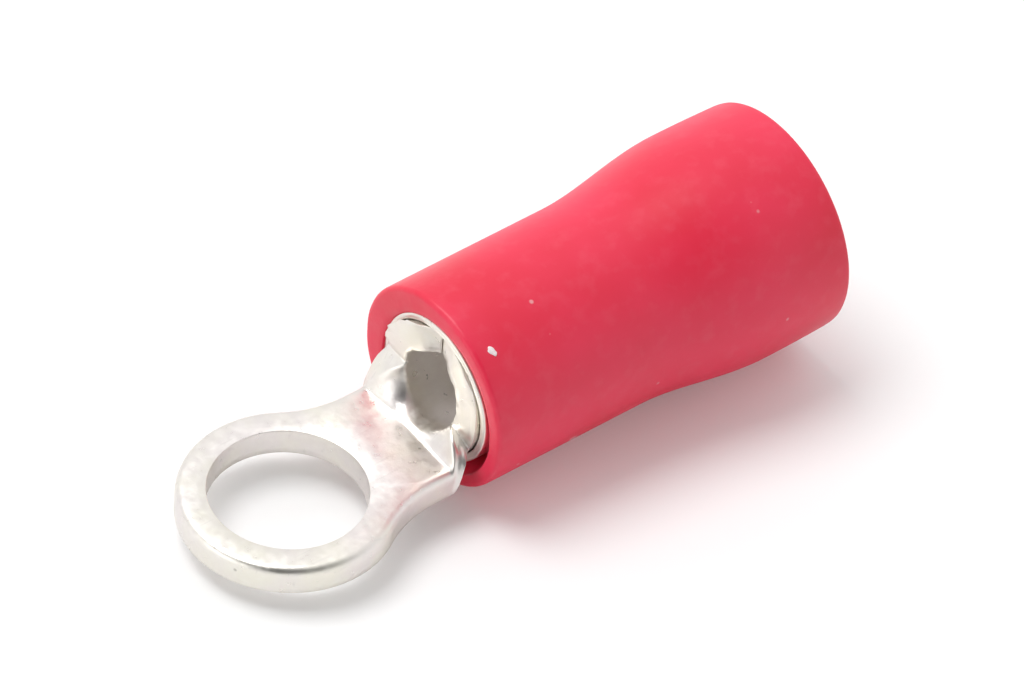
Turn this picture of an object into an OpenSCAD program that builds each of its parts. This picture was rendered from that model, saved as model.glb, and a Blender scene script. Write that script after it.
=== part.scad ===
// Insulated ring terminal: a stamped tongue whose sheet curls into a wire barrel,
// a thin support sleeve pressed over the barrel, and a flared insulating sleeve.
//
// Millimetres. The origin is the centre of the stud hole on the tongue's underside,
// +Z is the hole's axis and +X points along the barrel to where the wire enters.

/* [Tongue] */
// Diameter of the hole for the stud
hole_d = 3.7; // [3.2:0.1:4.1]
// Outer diameter of the ring
ring_d = 5.1; // [4.9:0.1:6]
// Thickness of the sheet, in the tongue and in the barrel
sheet_t = 0.7; // [0.5:0.05:0.8]
// Width of the neck between the ring and the barrel
neck_w = 3.45; // [3:0.05:3.8]
// Radius of the fillets between the ring and the neck
neck_fillet_r = 3; // [1.5:0.25:3.25]
// Straight length of neck between the fillets and the curl
neck_straight_l = 0.23; // [0.05:0.01:0.6]
// Radius of the top edge, where the blanking die rolled it over
die_roll_r = 0.2; // [0.1:0.05:0.25]

/* [Wire barrel] */
// Diameter of the bore that the bare wire goes into
wire_bore_d = 1.9; // [1.7:0.05:2.1]
// Length of the rolled barrel
barrel_l = 5; // [4:0.25:5.5]
// Length over which the flat neck curls up to the round of the barrel
curl_l = 0.85; // [0.6:0.05:1.2]
// How much wider the strip is where the curl ends, on each side
curl_spread = 0.12; // [0:0.02:0.3]
// Angle by which the barrel's front edges lean back towards the seam
rim_rake = 12; // [0:1:20]
// Height above the barrel's axis at which the front edges start to lean
rim_rake_h = 0.2; // [0:0.05:0.4]
// Width of the butt seam along the top of the barrel
seam_w = 0.08; // [0.04:0.02:0.2]
// Depth of the bevel that leads the wire into the bore
wire_bevel = 0.15; // [0.05:0.05:0.25]

/* [Support sleeve] */
// Wall of the metal sleeve over the barrel
support_t = 0.2; // [0.1:0.05:0.3]
// Distance from the insulator's front face to the front of the support sleeve
support_front_inset = 0.05; // [0:0.05:0.5]
// Distance from the insulator's rear rim to the rear of the support sleeve
support_rear_inset = 1; // [0.5:0.1:1.5]

/* [Insulating sleeve] */
// Overall length of the insulator
insulator_l = 9.95; // [9.3:0.05:11]
// Wall of the insulator over the barrel
insulator_t = 0.6; // [0.45:0.01:0.8]
// Distance from the barrel's front edges back to the insulator's front face
insulator_setback = 0.04; // [0:0.02:0.3]
// Rounding of the insulator's front edge
front_round_r = 0.12; // [0.05:0.01:0.2]
// Rounding of the insulator's rear rim
rim_round_r = 0.12; // [0.05:0.01:0.25]

/* [Flare] */
// Distance from the insulator's front face to the start of the flare
flare_start = 4.6; // [3.5:0.05:5]
// Length of the flare
flare_l = 3.4; // [2:0.05:3.75]
// How far the flare widens the sleeves, on each side
flare_rise = 0.37; // [0.15:0.01:0.5]
// How far the rear end draws in again, on each side
rear_draw_in = 0.04; // [0.01:0.01:0.1]

/* [Fits] */
// Clearance between each sleeve and what it goes over
fit_gap = 0.02; // [0.01:0.01:0.05]

/* [Hidden] */
$fn = 96;
// Facets of the large arcs in the sleeves' profiles
ARC_FN = 720;
// Steps of the curled sheet: along the barrel, across half the strip and round the die roll
curl_steps = 12;
strip_steps = 13;
roll_steps = 4;
// How far the curled strip reaches into the barrel wall, and by how much it thins there
curl_overlap = 0.25;
curl_skin = 0.01;
// Amount by which cutting shapes pass the faces that they cut
cut_past = 1;

hole_r = hole_d / 2;
ring_r = ring_d / 2;
neck_half = neck_w / 2;
fillet_y = neck_half + neck_fillet_r;
fillet_x = sqrt(pow(ring_r + neck_fillet_r, 2) - pow(fillet_y, 2));
fillet_angle = atan2(fillet_y, fillet_x);
curl_start = fillet_x + neck_straight_l;

bore_r = wire_bore_d / 2;
barrel_r = bore_r + sheet_t;
roll_r = bore_r + sheet_t / 2;
axis_z = barrel_r;
rim_x = curl_start + curl_l;
barrel_end = rim_x + barrel_l;

insulator_front = rim_x + insulator_setback;
insulator_rear = insulator_front + insulator_l;
support_front = insulator_front + support_front_inset;
support_rear = insulator_rear - support_rear_inset;
support_bore_r = barrel_r + fit_gap;
support_r = support_bore_r + support_t;
insulator_bore_r = support_r + fit_gap;
insulator_r = insulator_bore_r + insulator_t;
flare_x = insulator_front + flare_start;
flare_end = flare_x + flare_l;

// 0 before the curl, 1 after it, with no kink at either end
function eased(x) =
    let (u = min(max((x - curl_start) / curl_l, 0), 1))
    u * u * (3 - 2 * u);

// Half width of the strip, measured along the sheet
function strip_half(x) = neck_half + curl_spread * eased(x);

// Point of the curled sheet: s runs across the strip and h up from its mid-surface
function sheet_point(x, s, h) =
    let (bend = eased(x) / roll_r)
    bend == 0
        ? [x, s, sheet_t / 2 + h]
        : let (a = s * bend * 180 / PI, r = 1 / bend)
          [x, (r - h) * sin(a), sheet_t / 2 + r - (r - h) * cos(a)];

// Across half the strip's top: the flat part, then the die roll down to the side face
function strip_top(half, t) = concat(
    [for (i = [0:strip_steps]) [(half - die_roll_r) * i / strip_steps, t / 2]],
    [
        for (i = [1:roll_steps])
            let (a = 90 * i / roll_steps)
            [half - die_roll_r * (1 - sin(a)), t / 2 - die_roll_r * (1 - cos(a))]
    ]
);

// Closed cross-section of the strip: along the underside, then back along the top
function strip_section(x, t) =
    let (
        half = strip_half(x),
        top = strip_top(half, t),
        last = len(top) - 1
    )
    concat(
        [for (i = [-last:last]) sheet_point(x, half * i / last, -t / 2)],
        [for (i = [last:-1:0]) sheet_point(x, top[i][0], top[i][1])],
        [for (i = [1:last]) sheet_point(x, -top[i][0], top[i][1])]
    );

// Square corner less its rounding: the material lies inwards from side_u and side_v
module corner_waste(u, v, round_r, side_u, side_v) {
    difference() {
        translate([
            side_u > 0 ? u - round_r : u - cut_past,
            side_v > 0 ? v - round_r : v - cut_past
        ])
            square(round_r + cut_past);
        translate([u - side_u * round_r, v - side_v * round_r])
            circle(r = round_r);
    }
}

module tongue_plan() {
    circle(r = ring_r);
    translate([0, -neck_half])
        square([curl_start, neck_w]);
    for (side = [-1, 1])
        difference() {
            polygon([[0, 0], [fillet_x, side * fillet_y], [fillet_x, 0]]);
            translate([fillet_x, side * fillet_y])
                circle(r = neck_fillet_r);
        }
}

// What the die roll takes off the tongue's top edge
module tongue_edge_waste() {
    rotate([0, 0, fillet_angle])
        rotate_extrude(angle = 360 - 2 * fillet_angle)
            corner_waste(ring_r, sheet_t, die_roll_r, 1, 1);
    for (side = [0, 1])
        mirror([0, side, 0]) {
            translate([fillet_x, fillet_y, 0])
                rotate([0, 0, 180 + fillet_angle])
                    rotate_extrude(angle = 90 - fillet_angle)
                        corner_waste(neck_fillet_r, sheet_t, die_roll_r, -1, 1);
            translate([fillet_x, 0, 0])
                rotate([90, 0, 90])
                    linear_extrude(neck_straight_l)
                        corner_waste(neck_half, sheet_t, die_roll_r, 1, 1);
        }
}

module tongue() {
    difference() {
        linear_extrude(sheet_t)
            tongue_plan();
        tongue_edge_waste();
    }
}

// The neck's strip, curling up from flat until it meets the barrel wall
module curled_neck() {
    steps = [for (i = [0:curl_steps]) curl_start + curl_l * i / curl_steps];
    half_points = strip_steps + roll_steps;
    points_a_section = 4 * half_points + 2;
    sections = concat(
        [for (x = steps) strip_section(x, x < rim_x ? sheet_t : sheet_t - 2 * curl_skin)],
        [strip_section(rim_x + curl_overlap, sheet_t - 4 * curl_skin)]
    );
    last = len(sections) - 1;
    sides = [
        for (k = [0:last - 1], i = [0:points_a_section - 1])
            let (
                j = (i + 1) % points_a_section,
                a = k * points_a_section + i,
                b = k * points_a_section + j
            )
            each [[a, a + points_a_section, b], [b, a + points_a_section, b + points_a_section]]
    ];
    front = [
        for (i = [0:2 * half_points - 1])
            [i, i + 1, points_a_section - 2 - i, points_a_section - 1 - i]
    ];
    rear = [
        for (face = front)
            [for (i = [3:-1:0]) face[i] + last * points_a_section]
    ];
    polyhedron([for (section = sections) each section], concat(sides, front, rear));
}

// Turns a profile drawn as [radius, distance along X] about the barrel's axis
module about_axis() {
    translate([0, 0, axis_z])
        rotate([0, 90, 0])
            rotate_extrude()
                children();
}

// Rolled tube with its wire bevel, its raked front edges and the seam along its top
module barrel_tube() {
    difference() {
        about_axis()
            difference() {
                translate([bore_r, rim_x])
                    square([sheet_t, barrel_l]);
                polygon([
                    [bore_r - cut_past, barrel_end + cut_past],
                    [bore_r - cut_past, barrel_end - wire_bevel - cut_past],
                    [bore_r + wire_bevel + cut_past, barrel_end + cut_past]
                ]);
            }
        // Front edges lean back above the axis
        translate([rim_x, 0, axis_z + rim_rake_h])
            rotate([0, rim_rake, 0])
                translate([-barrel_l, -2 * barrel_r, 0])
                    cube([barrel_l, 4 * barrel_r, 2 * barrel_r]);
        translate([rim_x - cut_past, -seam_w / 2, axis_z])
            cube([barrel_l + 2 * cut_past, seam_w, barrel_r + cut_past]);
    }
}

module terminal_body() {
    color("gainsboro")
        difference() {
            union() {
                tongue();
                curled_neck();
                barrel_tube();
            }
            translate([0, 0, -cut_past])
                cylinder(r = hole_r, h = sheet_t + 2 * cut_past);
        }
}

// Area under a curve that stays at front_r, eases out by flare_rise and runs on to x1
module flared_area(front_r, x0, x1) {
    arc_r = (pow(flare_l, 2) + pow(flare_rise, 2)) / (4 * flare_rise);
    middle = flare_x + flare_l / 2;
    rear_r = front_r + flare_rise;
    intersection() {
        translate([0, x0])
            square([rear_r + cut_past, x1 - x0]);
        union() {
            translate([0, x0])
                square([front_r, middle - x0]);
            difference() {
                translate([0, flare_x])
                    square([front_r + flare_rise / 2, flare_l / 2]);
                translate([front_r + arc_r, flare_x])
                    circle(r = arc_r, $fn = ARC_FN);
            }
            intersection() {
                translate([0, middle])
                    square([rear_r, flare_l / 2]);
                translate([rear_r - arc_r, flare_end])
                    circle(r = arc_r, $fn = ARC_FN);
            }
            translate([0, flare_end])
                square([rear_r, insulator_l]);
        }
    }
}

module support_sleeve() {
    color("darkkhaki")
        about_axis()
            difference() {
                flared_area(support_r, support_front, support_rear);
                flared_area(support_bore_r, support_front - cut_past, support_rear + cut_past);
            }
}

module insulating_sleeve() {
    rear_r = insulator_r + flare_rise - rear_draw_in;
    rear_bore_r = insulator_bore_r + flare_rise;
    tail_l = insulator_rear - flare_end;
    tail_arc_r = (pow(tail_l, 2) + pow(rear_draw_in, 2)) / (2 * rear_draw_in);
    color("crimson")
        about_axis()
            difference() {
                flared_area(insulator_r, insulator_front, insulator_rear);
                flared_area(insulator_bore_r, insulator_front - cut_past, insulator_rear + cut_past);
                // The rear end draws in along a shallow arc
                difference() {
                    translate([0, flare_end])
                        square([rear_r + cut_past, tail_l + cut_past]);
                    translate([insulator_r + flare_rise - tail_arc_r, flare_end])
                        circle(r = tail_arc_r, $fn = ARC_FN);
                }
                corner_waste(insulator_r, insulator_front, front_round_r, 1, -1);
                corner_waste(rear_r, insulator_rear, rim_round_r, 1, 1);
                corner_waste(rear_bore_r, insulator_rear, rim_round_r, -1, 1);
            }
}

terminal_body();
support_sleeve();
insulating_sleeve();
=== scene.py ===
import math

import bmesh
import bpy
from mathutils import Matrix, Vector, noise


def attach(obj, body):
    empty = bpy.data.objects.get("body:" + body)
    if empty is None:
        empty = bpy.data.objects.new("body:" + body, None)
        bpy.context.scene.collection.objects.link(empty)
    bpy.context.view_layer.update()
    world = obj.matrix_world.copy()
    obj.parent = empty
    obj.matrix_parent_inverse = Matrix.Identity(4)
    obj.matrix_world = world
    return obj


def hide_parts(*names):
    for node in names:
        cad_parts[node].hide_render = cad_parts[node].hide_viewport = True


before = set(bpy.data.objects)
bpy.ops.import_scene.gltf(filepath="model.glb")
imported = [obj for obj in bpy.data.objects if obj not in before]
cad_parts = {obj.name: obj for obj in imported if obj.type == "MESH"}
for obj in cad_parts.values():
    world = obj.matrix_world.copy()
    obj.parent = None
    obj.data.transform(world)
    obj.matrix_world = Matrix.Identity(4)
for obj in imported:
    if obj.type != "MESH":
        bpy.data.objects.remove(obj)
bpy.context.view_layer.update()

MM = 0.001

# ---------------------------------------------------------------- camera
CAMERA_AZIMUTH = -41.67
CAMERA_ELEVATION = 44.98
CAMERA_ROLL = 5.14
CAMERA_DISTANCE = 260 * MM
CAMERA_AIM = Vector((6.97, 0.73, 0.86)) * MM
CAMERA_LENS = 400.6
SENSOR_WIDTH = 36
NEAREST_SEEN = 10 * MM
FARTHEST_SEEN = 10


def unit_from_angles(azimuth, elevation):
    """Direction from the part towards a place at this azimuth and elevation."""
    a, e = math.radians(azimuth), math.radians(elevation)
    return Vector((math.sin(a) * math.cos(e), -math.cos(a) * math.cos(e), math.sin(e)))


def make_camera():
    back = unit_from_angles(CAMERA_AZIMUTH, CAMERA_ELEVATION)
    a = math.radians(CAMERA_AZIMUTH)
    right = Vector((math.cos(a), math.sin(a), 0))
    up = back.cross(right)
    axes = Matrix((right, up, back)).transposed().to_4x4()
    data = bpy.data.cameras.new("camera")
    data.lens = CAMERA_LENS
    data.sensor_width = SENSOR_WIDTH
    data.clip_start = NEAREST_SEEN
    data.clip_end = FARTHEST_SEEN
    camera = bpy.data.objects.new("camera", data)
    bpy.context.scene.collection.objects.link(camera)
    roll = Matrix.Rotation(math.radians(CAMERA_ROLL), 4, "Z")
    camera.matrix_world = Matrix.Translation(CAMERA_AIM + back * CAMERA_DISTANCE) @ axes @ roll
    bpy.context.scene.camera = camera


make_camera()

# ---------------------------------------------------------------- sizes of the part
# Millimetres, as in the part's source
HOLE_R = 1.85
RING_R = 2.55
SHEET_T = 0.7
NECK_HALF = 1.725
FILLET_R = 3.0
DIE_ROLL_R = 0.2
BORE_R = 0.95
BARREL_L = 5.0
SEAM_W = 0.08
CURL_START = 3.1415
CURL_L = 0.85

FILLET_Y = NECK_HALF + FILLET_R
FILLET_X = math.sqrt((RING_R + FILLET_R) ** 2 - FILLET_Y**2)
FILLET_ANGLE = math.atan2(FILLET_Y, FILLET_X)
RIM_X = CURL_START + CURL_L
BARREL_END = RIM_X + BARREL_L
ROLL_R = BORE_R + SHEET_T / 2
AXIS_Z = BORE_R + SHEET_T
BARREL_HALF = math.pi * ROLL_R - SEAM_W / 2

INSULATOR_FRONT = 4.0315
INSULATOR_REAR = 13.9815
INSULATOR_R = 2.49
INSULATOR_BORE_R = 1.89
SUPPORT_FRONT = 4.0815
SUPPORT_REAR = 12.9815
SUPPORT_R = 1.87
SUPPORT_BORE_R = 1.67
FLARE_X = 8.6315
FLARE_L = 3.4
FLARE_RISE = 0.37
REAR_DRAW_IN = 0.04
FLAKE_X = 4.51
FLAKE_ANGLE = -146
FLAKE_HALF_SIZES = (0.075, 0.13, 0.035)
FLAKE_TURN = 25

# Smallest length that counts, and the distance at which a finished piece's points are joined
TINY = 0.001
MERGE_DISTANCE = 0.0005


def smooth_step(low, high, value):
    u = min(max((value - low) / (high - low), 0), 1)
    return u * u * (3 - 2 * u)


def between(value, table):
    """Value read off a table of (place, value) pairs, straight between them."""
    if value <= table[0][0]:
        return table[0][1]
    for (a, va), (b, vb) in zip(table, table[1:]):
        if value <= b:
            return va + (vb - va) * (value - a) / (b - a)
    return table[-1][1]


def stations(start, end, steps):
    """Evenly spaced places from start to end, both included."""
    return [start + (end - start) * i / steps for i in range(steps + 1)]


def wander(point, size, seed):
    """Smooth noise from about -1 to 1, with lumps of the given size."""
    return noise.noise(Vector(point) / size + Vector((seed, 3.1 * seed, -1.7 * seed)))


# ---------------------------------------------------------------- finishing a piece
def finish_piece(bm, name, material, node):
    bmesh.ops.remove_doubles(bm, verts=bm.verts[:], dist=MERGE_DISTANCE)
    bmesh.ops.recalc_face_normals(bm, faces=bm.faces[:])
    bmesh.ops.scale(bm, vec=(MM, MM, MM), verts=bm.verts[:])
    for face in bm.faces:
        face.smooth = True
    mesh = bpy.data.meshes.new(name)
    bm.to_mesh(mesh)
    bm.free()
    mesh.materials.append(material)
    piece = bpy.data.objects.new(name, mesh)
    bpy.context.scene.collection.objects.link(piece)
    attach(piece, "root")
    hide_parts(node)
    return piece


def add_bevel(piece, width, segments, angle):
    bevel = piece.modifiers.new("edges", "BEVEL")
    bevel.width = width * MM
    bevel.segments = segments
    bevel.limit_method = "ANGLE"
    bevel.angle_limit = math.radians(angle)
    bevel.use_clamp_overlap = True


# ---------------------------------------------------------------- the stamped and rolled terminal
# Columns of the blank, out from its middle line: the neck's, then the barrel's
NECK_COLUMNS = [
    0, 0.14, 0.28, 0.42, 0.56, 0.7, 0.84, 0.98, 1.11, 1.24,
    1.36, 1.46, 1.54, 1.61, 1.66, 1.70, NECK_HALF,
]
BARREL_COLUMNS = [
    1.79, 1.9, 2.03, 2.18, 2.33, 2.48, 2.63, 2.78, 2.93,
    3.08, 3.23, 3.38, 3.53, 3.68, 3.8, 3.9, 3.98,
]
# Rows of the blank, by x: the curl from the end of the fillets, then the barrel's wall
CURL_ROWS = [
    3.02, 3.12, 3.2, 3.27, 3.33, 3.38, 3.43, 3.48,
    3.53, 3.58, 3.64, 3.7, 3.76, 3.82, 3.88, 3.94,
]
WALL_ROWS = [
    4.02, 4.06, 4.12, 4.2, 4.3, 4.42, 4.6, 4.85,
    5.2, 5.7, 6.3, 7.0, 7.7, 8.3, 8.7, 8.9,
]
# Loops of the ring, by their distance in from the tongue's outline
RING_LOOPS = (0.45, 0.2, 0.13, 0.07, 0.03, 0)
FILLET_STEPS = 9
RING_STEPS = 40
# Widths of the wings beside the mouth: (x, half width)
FAR_WING = [(3.45, 1.725), (3.62, 1.79), (3.78, 1.90), (3.9, 2.0), (RIM_X, 2.10)]
NEAR_WING = [(3.3, 1.725), (3.5, 1.73), (3.7, 1.70), (3.85, 1.60), (RIM_X, 1.52)]
# Where the wall's front edge stands: (distance round the sheet from the middle, x)
FAR_RIM = [
    (2.1, 4.03), (2.35, 3.96), (2.7, 3.92), (3.15, 3.90),
    (3.5, 3.96), (3.75, 4.08), (4.04, 4.24),
]
NEAR_RIM = [
    (1.52, 3.95), (1.8, 3.96), (2.2, 3.99), (2.72, 4.02),
    (3.27, 4.06), (3.7, 4.13), (4.04, 4.24),
]
# How far behind the rim the drawn outline has gone back to the plain blank's
WING_FADE = 1.2
RIM_FADE = 1.4
# Half widths between which the rim's own places take over from the straight front
RIM_SIDE = (0.9, 1.5)
# Where the sheet curls, how fast its bend comes on, and the first part over which this eases in
BEND_START = 3.40
BEND_END = 4.0
BEND_POWER = 1.6
BEND_EASE = 0.35
FLAT_BEND = 1e-6
# How high the floor of the barrel steps up at the crease, and where the step rises and fades
CREASE_RISE = 0.05
CREASE_W = 0.16
CREASE_FADE = (3.7, 4.4)
# Where the die's rolled edge gives way to the barrel's sharper one
EDGE_CHANGE = (3.5, 4.0)
BARREL_EDGE_R = 0.05
# Torn edges beside the mouth: where the tearing starts and stops, and how far in it reaches
TEAR_START = (3.45, 3.7)
TEAR_STOP = (4.5, 5.0)
TEAR_REACH = 0.12


def ring_outline(angle):
    """Distance from the hole's centre to the tongue's outline at this angle."""
    a = abs(angle)
    if a >= FILLET_ANGLE:
        return RING_R
    if math.tan(a) <= NECK_HALF / FILLET_X:
        return FILLET_X / math.cos(a)
    along = FILLET_X * math.cos(a) + FILLET_Y * math.sin(a)
    centre = FILLET_X**2 + FILLET_Y**2
    return along - math.sqrt(along**2 - centre + FILLET_R**2)


def ring_angles():
    """Angles of the tongue's points all round: neck, fillet, ring, and back on the near side."""
    neck = [math.atan2(s, FILLET_X) for s in NECK_COLUMNS]
    fillet = stations(neck[-1], FILLET_ANGLE, FILLET_STEPS)[1:]
    ring = stations(FILLET_ANGLE, math.pi, RING_STEPS)[1:-1]
    half = neck + fillet + ring
    return half + [math.pi] + [-a for a in reversed(half[1:])]


def add_ring(bm):
    """Flat ring from the stud hole out to the tongue's outline and the end of the neck."""
    angles = ring_angles()
    loop = bmesh.ops.create_circle(bm, radius=HOLE_R, segments=len(angles))["verts"]
    for vert, angle in zip(loop, angles):
        vert.co = Vector((math.cos(angle), math.sin(angle), 0)) * HOLE_R
    edges = list({edge for vert in loop for edge in vert.link_edges})
    for left in RING_LOOPS:
        grown = bmesh.ops.extrude_edge_only(bm, edges=edges)["geom"]
        for vert in (item for item in grown if isinstance(item, bmesh.types.BMVert)):
            angle = math.atan2(vert.co.y, vert.co.x)
            vert.co = Vector((math.cos(angle), math.sin(angle), 0)) * (ring_outline(angle) - left)
        edges = [item for item in grown if isinstance(item, bmesh.types.BMEdge)]


def add_strip(bm):
    """Flat strip for the neck and the barrel, as a grid with its front corners cut out."""
    half = NECK_COLUMNS + BARREL_COLUMNS + [BARREL_HALF]
    columns = [-s for s in reversed(half[1:])] + half
    rows = [FILLET_X] + CURL_ROWS + [RIM_X] + WALL_ROWS + [BARREL_END]
    grid = bmesh.ops.create_grid(
        bm, x_segments=len(rows) - 1, y_segments=len(columns) - 1, size=0.5
    )["verts"]
    for vert in grid:
        row = rows[round((vert.co.x + 0.5) * (len(rows) - 1))]
        column = columns[round((vert.co.y + 0.5) * (len(columns) - 1))]
        vert.co = Vector((row, column, 0))
    waste = [
        face
        for face in {face for vert in grid for face in vert.link_faces}
        if face.calc_center_median().x < RIM_X and abs(face.calc_center_median().y) > NECK_HALF
    ]
    bmesh.ops.delete(bm, geom=waste, context="FACES")


def wing_half(x, s):
    """Half width of the sheet beside the mouth, at this x and on this side."""
    table = FAR_WING if s > 0 else NEAR_WING
    settled = smooth_step(RIM_X, RIM_X + WING_FADE, x)
    return between(x, table) * (1 - settled) + NECK_HALF * settled


def rim_place(s):
    """Where along x the wall's front edge stands, this far round the sheet."""
    return between(abs(s), FAR_RIM if s > 0 else NEAR_RIM)


def draw_outline(x, s):
    """Move a point of the plain blank to the outline of the cut and torn one."""
    half = wing_half(x, s)
    a = abs(s)
    if a <= NECK_HALF:
        a = a * half / NECK_HALF
    else:
        a = half + (a - NECK_HALF) * (BARREL_HALF - half) / (BARREL_HALF - NECK_HALF)
    s = math.copysign(a, s)
    if x > CURL_START:
        held = smooth_step(CURL_START, RIM_X, x) - smooth_step(RIM_X, RIM_X + RIM_FADE, x)
        side = smooth_step(*RIM_SIDE, a)
        x += (rim_place(s) - RIM_X) * held * side
    return x, s


def edge_distance(x, s):
    """Distance in from the blank's outline, for the die's rolled edge."""
    if x < FILLET_X:
        if math.atan2(abs(s), x) >= FILLET_ANGLE:
            return RING_R - math.hypot(x, s)
        return math.hypot(x - FILLET_X, abs(s) - FILLET_Y) - FILLET_R
    if x < RIM_X:
        return NECK_HALF - abs(s)
    if abs(s) > NECK_HALF:
        return x - RIM_X
    return math.hypot(x - RIM_X, NECK_HALF - abs(s))


def curled(x, s, h):
    """Place of a point of the blank once the sheet is rolled: h is up from its mid-surface."""
    u = min(max((x - BEND_START) / (BEND_END - BEND_START), 0), 1)
    bend = (1 - (1 - u) ** BEND_POWER) / ROLL_R
    if u < BEND_EASE:
        bend *= smooth_step(-BEND_EASE, BEND_EASE, u)
    if bend < FLAT_BEND:
        return Vector((x, s, SHEET_T / 2 + h))
    a, r = s * bend, 1 / bend
    return Vector((x, (r - h) * math.sin(a), SHEET_T / 2 + r - (r - h) * math.cos(a)))


def make_terminal(material):
    bm = bmesh.new()
    add_ring(bm)
    add_strip(bm)
    bmesh.ops.remove_doubles(bm, verts=bm.verts[:], dist=TINY)
    bmesh.ops.recalc_face_normals(bm, faces=bm.faces[:])
    raised = bmesh.ops.extrude_face_region(bm, geom=bm.faces[:], use_keep_orig=True)["geom"]
    top = [item for item in raised if isinstance(item, bmesh.types.BMVert)]
    bmesh.ops.translate(bm, vec=(0, 0, SHEET_T), verts=top)
    walls = [
        edge
        for edge in bm.edges
        if abs(edge.verts[0].co.z - edge.verts[1].co.z) > SHEET_T / 2
    ]
    bmesh.ops.subdivide_edges(bm, edges=walls, cuts=3, use_grid_fill=True)
    bmesh.ops.recalc_face_normals(bm, faces=bm.faces[:])
    for vert in bm.verts:
        x, s, z = vert.co
        inwards = edge_distance(x, s)
        # The die rolled the top edge over
        barrel = smooth_step(*EDGE_CHANGE, x)
        roll = DIE_ROLL_R * (1 - barrel) + BARREL_EDGE_R * barrel
        left = max(roll - inwards, 0)
        drop = roll - math.sqrt(max(roll**2 - left**2, 0))
        if z > SHEET_T - TINY:
            z -= drop
        elif z > TINY:
            z -= drop * z / SHEET_T
        # Torn faces are uneven near the mouth
        x, s = draw_outline(x, s)
        cut = smooth_step(TEAR_REACH, 0.0, inwards) if inwards < TEAR_REACH else 0
        mouth = smooth_step(*TEAR_START, x) * (1 - smooth_step(*TEAR_STOP, x))
        rough = cut * mouth
        place = (x, s, z)
        x += rough * (0.05 * wander(place, 0.35, 1) + 0.03 * wander(place, 0.12, 2))
        s += rough * 0.04 * wander(place, 0.2, 3)
        h = z - SHEET_T / 2
        if h > SHEET_T / 4:
            step = smooth_step(BEND_START, BEND_START + CREASE_W, x)
            step *= 1 - smooth_step(*CREASE_FADE, x)
            h += CREASE_RISE * step
        vert.co = curled(x, s, h)
    terminal = finish_piece(bm, "ring_and_barrel", material, "terminal_body")
    add_bevel(terminal, width=0.03, segments=2, angle=48)


# ---------------------------------------------------------------- sleeves
# Rounds of the rims, and how far in from the ends the straight runs of the outlines stop
INSULATOR_FRONT_ROUND = 0.12
INSULATOR_REAR_ROUND = 0.1
INSULATOR_BORE_ROUND = 0.05
SUPPORT_ROUND = 0.06
FRONT_INSET = 0.3
REAR_INSET = 0.2
# Rings of points across the red sleeve's front face
FACE_RADII = (2.05, 2.15, 2.25)
# The red sleeve's mouth: how much wider it is all round, how far and to which side it sits off
# centre, how oval it is and which way, and how deep this goes
MOUTH_WIDER = 0.1
MOUTH_SHIFT = 0.17
MOUTH_SHIFT_ANGLE = -62
MOUTH_OVAL = 0.05
MOUTH_OVAL_ANGLE = 5
MOUTH_DEPTH = 0.9


def flare(x):
    """How far the flare has lifted the sleeves' walls at this x."""
    return FLARE_RISE * smooth_step(FLARE_X, FLARE_X + FLARE_L, x)


def spin_tube(bm, profile, segments):
    """Closed tube about the barrel's axis from a closed profile of (x, radius)."""
    verts = [bm.verts.new((x, 0, AXIS_Z - r)) for x, r in profile]
    edges = [bm.edges.new((a, b)) for a, b in zip(verts, verts[1:] + verts[:1])]
    bmesh.ops.spin(
        bm,
        geom=verts + edges,
        cent=(0, 0, AXIS_Z),
        axis=(1, 0, 0),
        dvec=(0, 0, 0),
        angle=math.tau,
        steps=segments,
        use_merge=True,
        use_duplicate=False,
    )


def arc_points(cx, cr, radius, start, end, steps):
    """Points of a round on a profile, from one angle to another in degrees."""
    return [
        (
            cx + radius * math.cos(math.radians(start + (end - start) * i / steps)),
            cr + radius * math.sin(math.radians(start + (end - start) * i / steps)),
        )
        for i in range(steps + 1)
    ]


def around(point):
    """Angle round the barrel's axis in degrees, 0 below and 90 on the far side."""
    return math.degrees(math.atan2(point.y, AXIS_Z - point.z))


def mouth_growth(angle):
    """How much the red sleeve's bore widens at its mouth, at this angle in radians."""
    shift = MOUTH_SHIFT * math.cos(angle - math.radians(MOUTH_SHIFT_ANGLE))
    oval = MOUTH_OVAL * math.cos(2 * (angle - math.radians(MOUTH_OVAL_ANGLE)))
    return MOUTH_WIDER + shift + oval


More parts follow.
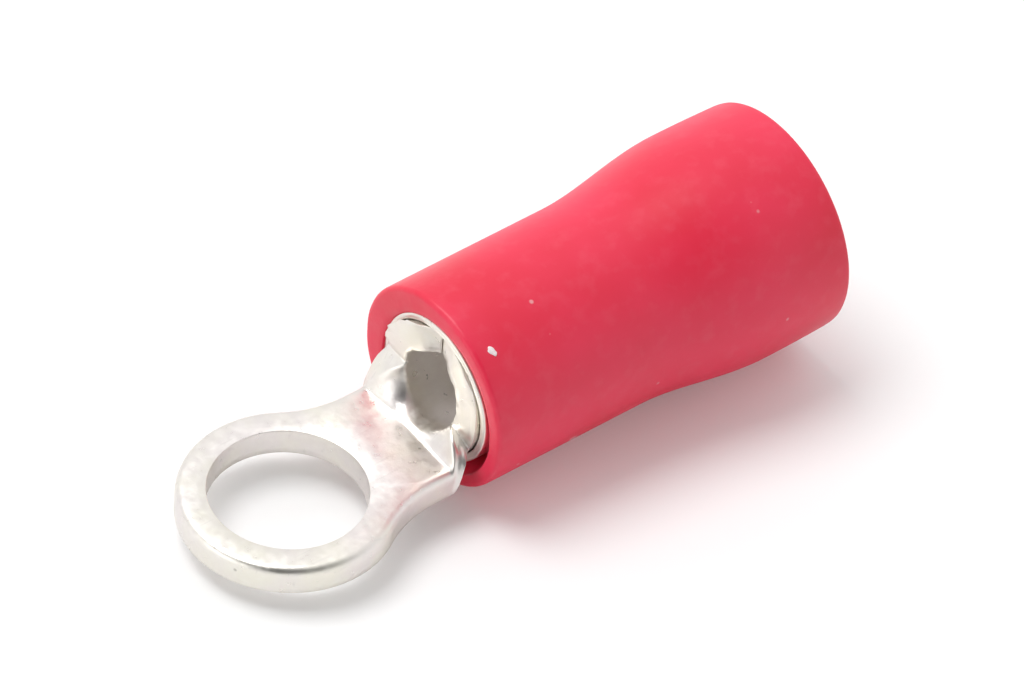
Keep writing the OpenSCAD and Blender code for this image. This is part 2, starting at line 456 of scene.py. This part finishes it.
def make_insulator(material):
    front_round = INSULATOR_FRONT_ROUND
    rear_round = INSULATOR_REAR_ROUND
    bore_round = INSULATOR_BORE_ROUND
    tail_r = INSULATOR_R + FLARE_RISE - REAR_DRAW_IN
    flare_end = FLARE_X + FLARE_L

    def outer(x):
        fall = max((x - flare_end) / (INSULATOR_REAR - flare_end), 0)
        return INSULATOR_R + flare(x) - REAR_DRAW_IN * fall**2

    run_start = INSULATOR_FRONT + FRONT_INSET
    run_end = INSULATOR_REAR - REAR_INSET
    front_x = INSULATOR_FRONT + front_round
    rear_x = INSULATOR_REAR - rear_round
    bore = INSULATOR_BORE_R + FLARE_RISE
    profile = arc_points(front_x, INSULATOR_R - front_round, front_round, 180, 90, steps=5)
    profile += [(x, outer(x)) for x in stations(run_start, run_end, steps=44)]
    profile += arc_points(rear_x, tail_r - rear_round, rear_round, 90, 0, steps=4)
    profile += arc_points(rear_x, bore + rear_round, rear_round, 0, -90, steps=4)
    inside = stations(run_start, run_end, steps=24)
    profile += [(x, INSULATOR_BORE_R + flare(x)) for x in reversed(inside)]
    lip_x = INSULATOR_FRONT + bore_round
    profile += arc_points(lip_x, INSULATOR_BORE_R + bore_round, bore_round, -90, -180, steps=2)
    profile += [(INSULATOR_FRONT, r) for r in FACE_RADII]
    bm = bmesh.new()
    spin_tube(bm, profile, segments=144)
    for vert in bm.verts:
        offset = Vector((0, vert.co.y, vert.co.z - AXIS_Z))
        radius = offset.length
        front = 1 - smooth_step(INSULATOR_FRONT, INSULATOR_FRONT + MOUTH_DEPTH, vert.co.x)
        inner = 1 - smooth_step(INSULATOR_BORE_R, INSULATOR_R - 0.1, radius)
        # The mouth of the bore is oval and sits off centre
        wider = mouth_growth(math.radians(around(vert.co)))
        vert.co += offset.normalized() * wider * front * inner
        vert.co += offset.normalized() * 0.02 * wander(vert.co, 1.2, 5) * front
        vert.co.x += 0.015 * wander(vert.co, 0.6, 6) * front
    insulator = finish_piece(bm, "red_insulator", material, "insulating_sleeve")


def make_flake(material):
    """Pale chip of flash that sticks to the sleeve just behind its front edge."""
    bm = bmesh.new()
    chip = bmesh.ops.create_icosphere(bm, subdivisions=3, radius=1)["verts"]
    for vert in chip:
        vert.co *= 1 + 0.45 * wander(vert.co, 0.8, 9)
    bmesh.ops.scale(bm, vec=FLAKE_HALF_SIZES, verts=chip)
    bmesh.ops.rotate(bm, verts=chip, matrix=Matrix.Rotation(math.radians(FLAKE_TURN), 3, "Z"))
    bmesh.ops.translate(bm, verts=chip, vec=(FLAKE_X, 0, INSULATOR_R))
    turn = Matrix.Rotation(math.radians(180 + FLAKE_ANGLE), 3, "X")
    bmesh.ops.rotate(bm, verts=chip, matrix=turn)
    bmesh.ops.translate(bm, verts=chip, vec=(0, 0, AXIS_Z))
    flake = finish_piece(bm, "flash_flake", material, "insulating_sleeve")


def make_support(material):
    rim = SUPPORT_ROUND
    rim_x = SUPPORT_FRONT + rim
    run = stations(SUPPORT_FRONT + FRONT_INSET, SUPPORT_REAR, steps=30)
    profile = arc_points(rim_x, SUPPORT_R - rim, rim, 180, 90, steps=3)
    profile += [(x, SUPPORT_R + flare(x)) for x in run]
    profile += [(x, SUPPORT_BORE_R + flare(x)) for x in reversed(run)]
    profile += arc_points(rim_x, SUPPORT_BORE_R + rim, rim, -90, -180, steps=3)
    bm = bmesh.new()
    spin_tube(bm, profile, segments=96)
    support = finish_piece(bm, "support_tube", material, "support_sleeve")


# ---------------------------------------------------------------- materials
FLASH_WHITE = (0.95, 0.93, 0.93)
FLASH_PINK = (0.92, 0.76, 0.78)
CREAM_TIN = (0.90, 0.87, 0.78)
LILAC_TIN = (0.87, 0.82, 0.80)
BRIGHT_TIN = (0.97, 0.95, 0.90)
GREY_TIN = (0.66, 0.63, 0.60)
PIT_TIN = (0.30, 0.27, 0.25)
DEEP_RED = (0.79, 0.014, 0.050)
CLEAR_RED = (0.87, 0.028, 0.085)
PALE_RED = (0.90, 0.16, 0.22)
DUST = (0.92, 0.78, 0.78)
# Depth of the surface relief, in metres
RELIEF_DEPTH = 0.00004
# Painted bounce light: inside the barrel the tin goes from fully to partly metallic over this
# distance behind the rim, so the bore renders lighter
FULL_METALLIC = 1.0
PAINTED_BOUNCE_METALLIC = 0.35
PAINTED_BOUNCE_FADE = 0.7
# What lies within the bore's radius and this margin counts as inside
BORE_MARGIN = 0.05


def new_group(name, outputs):
    """Node group that reads Object coordinates and puts out the named sockets."""
    group = bpy.data.node_groups.new(name, "ShaderNodeTree")
    for output, kind in outputs:
        group.interface.new_socket(name=output, in_out="OUTPUT", socket_type=kind)
    return group


def add_node(tree, kind, settings=None, values=None):
    node = tree.nodes.new(kind)
    for key, value in (settings or {}).items():
        setattr(node, key, value)
    for key, value in (values or {}).items():
        node.inputs[key].default_value = value
    return node


def add_noise(tree, coordinates, scale, detail, stretch=(1, 1, 1), shift=(0, 0, 0)):
    mapping = add_node(tree, "ShaderNodeMapping", values={"Scale": stretch, "Location": shift})
    tree.links.new(coordinates, mapping.inputs["Vector"])
    texture = add_node(tree, "ShaderNodeTexNoise", values={"Scale": scale, "Detail": detail})
    tree.links.new(mapping.outputs["Vector"], texture.inputs["Vector"])
    return texture.outputs["Fac"]


def add_range(tree, value, low, high, to_low=0.0, to_high=1.0):
    mapped = add_node(
        tree,
        "ShaderNodeMapRange",
        values={"From Min": low, "From Max": high, "To Min": to_low, "To Max": to_high},
    )
    tree.links.new(value, mapped.inputs["Value"])
    return mapped.outputs["Result"]


def add_math(tree, operation, first, second):
    node = add_node(tree, "ShaderNodeMath", {"operation": operation})
    for socket, value in zip(node.inputs, (first, second)):
        if isinstance(value, (int, float)):
            socket.default_value = value
        else:
            tree.links.new(value, socket)
    return node.outputs["Value"]


def add_mix(tree, amount, first, second):
    mix = add_node(tree, "ShaderNodeMix", {"data_type": "RGBA"})
    tree.links.new(amount, mix.inputs["Factor"])
    for socket, value in ((mix.inputs[6], first), (mix.inputs[7], second)):
        if isinstance(value, tuple):
            socket.default_value = (*value, 1)
        else:
            tree.links.new(value, socket)
    return mix.outputs[2]


def add_specks(tree, coordinates, scale, size, share):
    """Small scattered spots: a spot in this share of the cells, of this size in the cell."""
    cells = add_node(tree, "ShaderNodeTexVoronoi", values={"Scale": scale})
    tree.links.new(coordinates, cells.inputs["Vector"])
    near = add_range(tree, cells.outputs["Distance"], size, size * 0.5)
    chosen = add_node(tree, "ShaderNodeSeparateColor")
    tree.links.new(cells.outputs["Color"], chosen.inputs["Color"])
    picked = add_math(tree, "LESS_THAN", chosen.outputs[0], share)
    return add_math(tree, "MULTIPLY", near, picked)


def object_coordinates(tree):
    return add_node(tree, "ShaderNodeTexCoord").outputs["Object"]


def make_tin_wear():
    """Mottled plating, pits and fine scratches of the stamped sheet."""
    group = new_group(
        "tin_wear",
        [
            ("Color", "NodeSocketColor"),
            ("Roughness", "NodeSocketFloat"),
            ("Height", "NodeSocketFloat"),
        ],
    )
    out = add_node(group, "NodeGroupOutput")
    place = object_coordinates(group)
    cloud = add_noise(group, place, 700, 4)
    grain = add_noise(group, place, 5200, 3, shift=(3, 1, 2))
    scratch = add_noise(group, place, 2600, 2, stretch=(0.25, 3, 1), shift=(1, 5, 0))
    pits = add_specks(group, place, 1700, 0.11, 0.08)
    tint = add_mix(group, add_range(group, cloud, 0.38, 0.62), CREAM_TIN, LILAC_TIN)
    worn = add_mix(group, add_range(group, grain, 0.42, 0.75, 0, 0.35), tint, BRIGHT_TIN)
    scored = add_mix(group, add_range(group, scratch, 0.66, 0.74, 0, 0.25), worn, GREY_TIN)
    pitted = add_mix(group, add_math(group, "MULTIPLY", pits, 0.6), scored, PIT_TIN)
    group.links.new(pitted, out.inputs["Color"])
    rough = add_range(group, grain, 0.3, 0.7, 0.27, 0.43)
    group.links.new(rough, out.inputs["Roughness"])
    relief = add_math(group, "ADD", add_math(group, "MULTIPLY", grain, 0.5), cloud)
    deep = add_math(group, "SUBTRACT", relief, add_math(group, "MULTIPLY", pits, 0.8))
    group.links.new(deep, out.inputs["Height"])
    return group


def make_vinyl_wear():
    """Slight clouding, dust specks and soft grain of the moulded sleeve."""
    group = new_group(
        "vinyl_wear",
        [
            ("Color", "NodeSocketColor"),
            ("Roughness", "NodeSocketFloat"),
            ("Height", "NodeSocketFloat"),
        ],
    )
    out = add_node(group, "NodeGroupOutput")
    place = object_coordinates(group)
    cloud = add_noise(group, place, 260, 5)
    grain = add_noise(group, place, 2600, 4, shift=(2, 0, 4))
    dust = add_specks(group, place, 1500, 0.10, 0.2)
    lint = add_specks(group, place, 620, 0.075, 0.14)
    specks = add_math(group, "MAXIMUM", add_math(group, "MULTIPLY", dust, 0.5), lint)
    base = add_mix(group, add_range(group, cloud, 0.35, 0.65), DEEP_RED, CLEAR_RED)
    grained = add_mix(group, add_range(group, grain, 0.5, 0.8, 0, 0.16), base, PALE_RED)
    dusted = add_mix(group, add_math(group, "MULTIPLY", specks, 0.75), grained, DUST)
    group.links.new(dusted, out.inputs["Color"])
    group.links.new(add_range(group, cloud, 0.3, 0.7, 0.33, 0.45), out.inputs["Roughness"])
    relief = add_math(group, "ADD", add_math(group, "MULTIPLY", grain, 0.6), specks)
    group.links.new(relief, out.inputs["Height"])
    return group


def make_flake_grain():
    """Off-white plastic with faint pink clouding."""
    group = new_group(
        "flake_grain",
        [
            ("Color", "NodeSocketColor"),
            ("Roughness", "NodeSocketFloat"),
            ("Height", "NodeSocketFloat"),
        ],
    )
    out = add_node(group, "NodeGroupOutput")
    cloud = add_noise(group, object_coordinates(group), 9000, 3)
    group.links.new(add_mix(group, cloud, FLASH_WHITE, FLASH_PINK), out.inputs["Color"])
    group.links.new(add_range(group, cloud, 0.3, 0.7, 0.35, 0.55), out.inputs["Roughness"])
    group.links.new(cloud, out.inputs["Height"])
    return group


def finished_material(name, group, metallic, relief, gloss):
    """Material whose colour, roughness and relief come from a wear group."""
    material = bpy.data.materials.new(name)
    material.use_nodes = True
    tree = material.node_tree
    shader = tree.nodes["Principled BSDF"]
    wear = add_node(tree, "ShaderNodeGroup")
    wear.node_tree = group
    tree.links.new(wear.outputs["Color"], shader.inputs["Base Color"])
    tree.links.new(wear.outputs["Roughness"], shader.inputs["Roughness"])
    bump = add_node(tree, "ShaderNodeBump", values={"Strength": relief, "Distance": RELIEF_DEPTH})
    tree.links.new(wear.outputs["Height"], bump.inputs["Height"])
    tree.links.new(bump.outputs["Normal"], shader.inputs["Normal"])
    shader.inputs["Metallic"].default_value = metallic
    shader.inputs["Specular IOR Level"].default_value = gloss
    return material


def paint_bounce_in_bore(material):
    """Painted bounce light: the tin inside the barrel is made partly metallic, so the bore renders
    lighter.
    """
    tree = material.node_tree
    place = add_node(tree, "ShaderNodeSeparateXYZ")
    tree.links.new(object_coordinates(tree), place.inputs["Vector"])
    up = add_math(tree, "SUBTRACT", place.outputs["Z"], AXIS_Z * MM)
    up_square = add_math(tree, "POWER", up, 2.0)
    across_square = add_math(tree, "POWER", place.outputs["Y"], 2.0)
    radius = add_math(tree, "SQRT", add_math(tree, "ADD", across_square, up_square), 0)
    inside = add_math(tree, "LESS_THAN", radius, (BORE_R + BORE_MARGIN) * MM)
    deep = add_range(tree, place.outputs["X"], RIM_X * MM, (RIM_X + PAINTED_BOUNCE_FADE) * MM)
    # Painted bounce light, fading in behind the rim
    painted_bounce = add_math(tree, "MULTIPLY", inside, deep)
    metal = add_range(tree, painted_bounce, 0, 1, FULL_METALLIC, PAINTED_BOUNCE_METALLIC)
    tree.links.new(metal, tree.nodes["Principled BSDF"].inputs["Metallic"])


tin_wear = make_tin_wear()
tin = finished_material("tin_plate", tin_wear, metallic=1.0, relief=0.35, gloss=0.5)
# Painted bounce light: the bore is lightened by lowering the tin's metallic inside it
paint_bounce_in_bore(tin)
plated = finished_material("support_metal", tin_wear, metallic=1.0, relief=0.2, gloss=0.5)
vinyl = finished_material("red_vinyl", make_vinyl_wear(), metallic=0.0, relief=0.25, gloss=0.5)
flash = finished_material("pale_flash", make_flake_grain(), metallic=0.0, relief=0.2, gloss=0.5)

make_terminal(tin)
make_insulator(vinyl)
make_support(plated)
make_flake(flash)


# ---------------------------------------------------------------- studio
FLOOR_COLOUR = (0.9, 0.9, 0.9)
FLOOR_ROUGHNESS = 0.9
FLOOR_LIFT = 0.12
# How far behind the sleeve's front end the floor touches its round
TOUCH_INSET = 0.1
WHITE = (1, 1, 1, 1)
# Strength of the white room, and of its dark side, which lies round the camera
ROOM_LIGHT = 0.90
ROOM_DARK = 0.12
# Cosines of the angles from the camera's direction at which the room starts to darken and is darkest
DARK_STARTS = 0.45
DARKEST = 0.92


def make_floor():
    bpy.ops.mesh.primitive_plane_add(size=2)
    floor = bpy.context.object
    floor.name = "floor"
    # The part lies on its sleeve: the floor touches the front round and the flared end
    touch = Vector((INSULATOR_FRONT + TOUCH_INSET, 0, AXIS_Z - INSULATOR_R)) * MM
    pitch = math.atan2(FLARE_RISE, FLARE_X + FLARE_L - INSULATOR_FRONT - TOUCH_INSET)
    floor.matrix_world = Matrix.Translation(touch) @ Matrix.Rotation(pitch, 4, "Y")
    material = bpy.data.materials.new("white_floor")
    material.use_nodes = True
    tree = material.node_tree
    shader = tree.nodes["Principled BSDF"]
    shader.inputs["Base Color"].default_value = (*FLOOR_COLOUR, 1)
    shader.inputs["Roughness"].default_value = FLOOR_ROUGHNESS
    # The camera sees the floor a little lighter, with its shadow kept
    shader.inputs["Emission Color"].default_value = WHITE
    path = add_node(tree, "ShaderNodeLightPath")
    lift = add_math(tree, "MULTIPLY", path.outputs["Is Camera Ray"], FLOOR_LIFT)
    tree.links.new(lift, shader.inputs["Emission Strength"])
    floor.data.materials.append(material)


make_floor()


def make_light(name, azimuth, elevation, distance, size, power):
    data = bpy.data.lights.new(name, "AREA")
    data.shape = "DISK"
    data.size = size
    data.energy = power
    light = bpy.data.objects.new(name, data)
    bpy.context.scene.collection.objects.link(light)
    back = unit_from_angles(azimuth, elevation)
    light.matrix_world = (
        Matrix.Translation(CAMERA_AIM + back * distance)
        @ back.to_track_quat("Z", "Y").to_matrix().to_4x4()
    )


make_light("key", azimuth=-150, elevation=68, distance=0.5, size=0.3, power=1.3)
make_light("fill", azimuth=-92, elevation=18, distance=0.5, size=0.4, power=0.4)


def make_studio_world():
    """White room that falls off to a darker side round the camera."""
    world = bpy.data.worlds.new("studio")
    bpy.context.scene.world = world
    world.use_nodes = True
    tree = world.node_tree
    direction = add_node(tree, "ShaderNodeTexCoord").outputs["Generated"]
    dot = add_node(tree, "ShaderNodeVectorMath", {"operation": "DOT_PRODUCT"})
    dot.inputs[1].default_value = unit_from_angles(CAMERA_AZIMUTH, CAMERA_ELEVATION)
    tree.links.new(direction, dot.inputs[0])
    shade = add_range(tree, dot.outputs["Value"], DARK_STARTS, DARKEST, ROOM_LIGHT, ROOM_DARK)
    background = tree.nodes["Background"]
    background.inputs["Color"].default_value = WHITE
    tree.links.new(shade, background.inputs["Strength"])


make_studio_world()

bpy.context.scene.view_settings.view_transform = "Standard"
